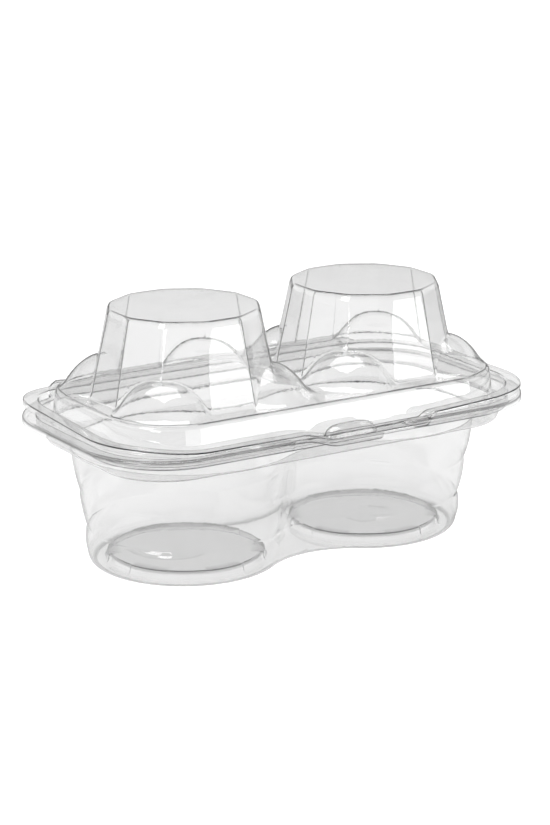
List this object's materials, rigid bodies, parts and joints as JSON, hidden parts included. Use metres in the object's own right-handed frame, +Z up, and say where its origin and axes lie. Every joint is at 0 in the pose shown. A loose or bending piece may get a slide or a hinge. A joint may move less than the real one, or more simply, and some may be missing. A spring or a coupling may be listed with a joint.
{
  "type": "cupcake box",
  "caption": "Clear hinged plastic box for a pair of cupcakes: round cups in the tray, tall faceted domes in the lid, snap front.",
  "frame": {"origin": "on the table, under the middle of the box", "axes": "+Z up, +X along the box's long side, -Y out of its front, where the finger tab is"},
  "size_m": [0.1878, 0.115, 0.098],
  "materials": {
    "clear_sheet": "clear glossy thermoformed sheet"
  },
  "bodies": {
    "tray": {"tray": "clear_sheet"},
    "lid": {"lid": "clear_sheet"}
  },
  "joints": [
    {"name": "lid_fold", "type": "hinge", "parent": "tray", "child": "lid", "pos_m": [0, 0.05765, 0.05695], "axis": [-1, 0, 0], "range_deg": [0, 180]}
  ]
}
